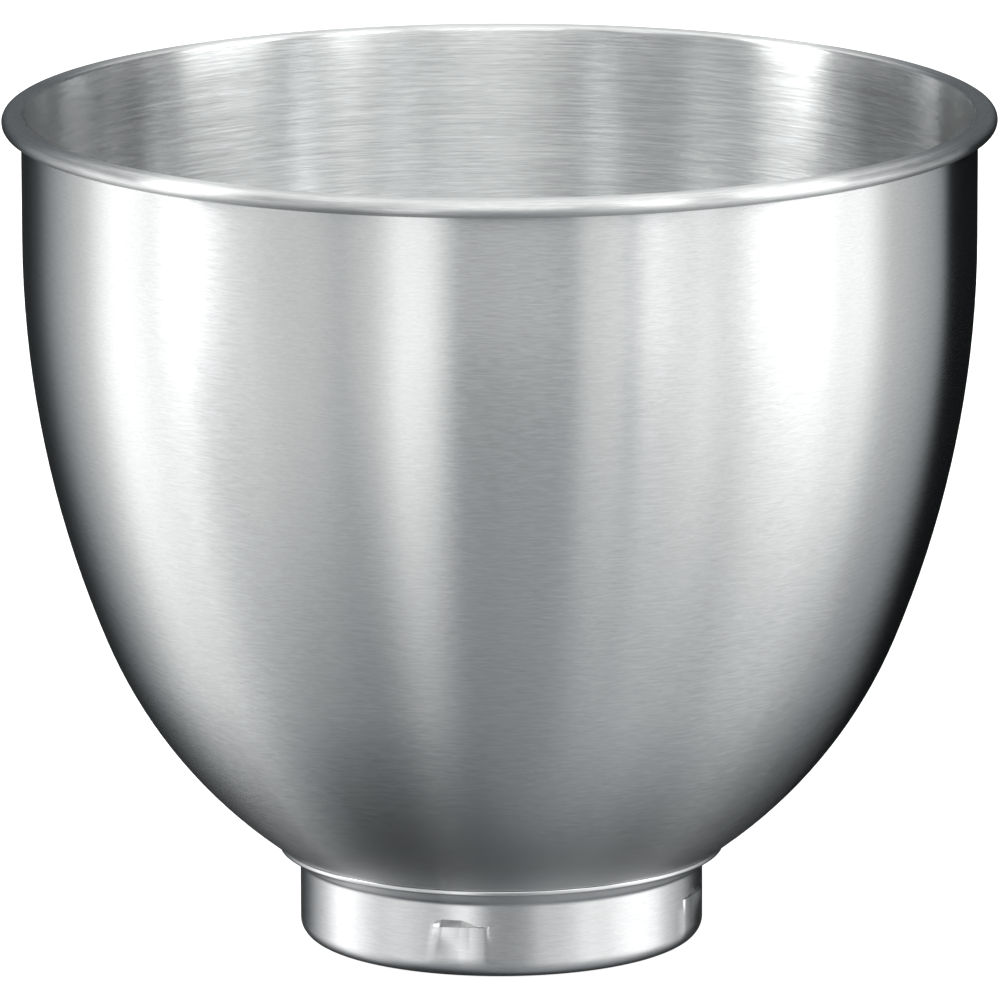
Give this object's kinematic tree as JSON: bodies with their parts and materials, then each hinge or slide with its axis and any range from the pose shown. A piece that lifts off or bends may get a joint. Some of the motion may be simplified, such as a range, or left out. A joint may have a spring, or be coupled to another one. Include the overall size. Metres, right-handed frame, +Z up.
{
  "type": "stand mixer bowl",
  "caption": "Deep round-bottomed stainless mixing bowl with a rolled rim, on a welded foot ring whose pressed lugs lock it to a stand mixer.",
  "frame": {"origin": "centre of the foot's lip, on the counter that the bowl stands on", "axes": "+Z up along the bowl's axis, out of its mouth; -Y towards the front, where the first lug lies a little to the left"},
  "size_m": [0.2, 0.2, 0.17],
  "materials": {
    "bowl_steel": "stainless steel, brushed round the axis inside and out",
    "foot_steel": "stainless steel, fine brushing, nearly bright"
  },
  "bodies": {
    "root": {"bowl": "bowl_steel", "foot": "foot_steel"}
  },
  "joints": []
}
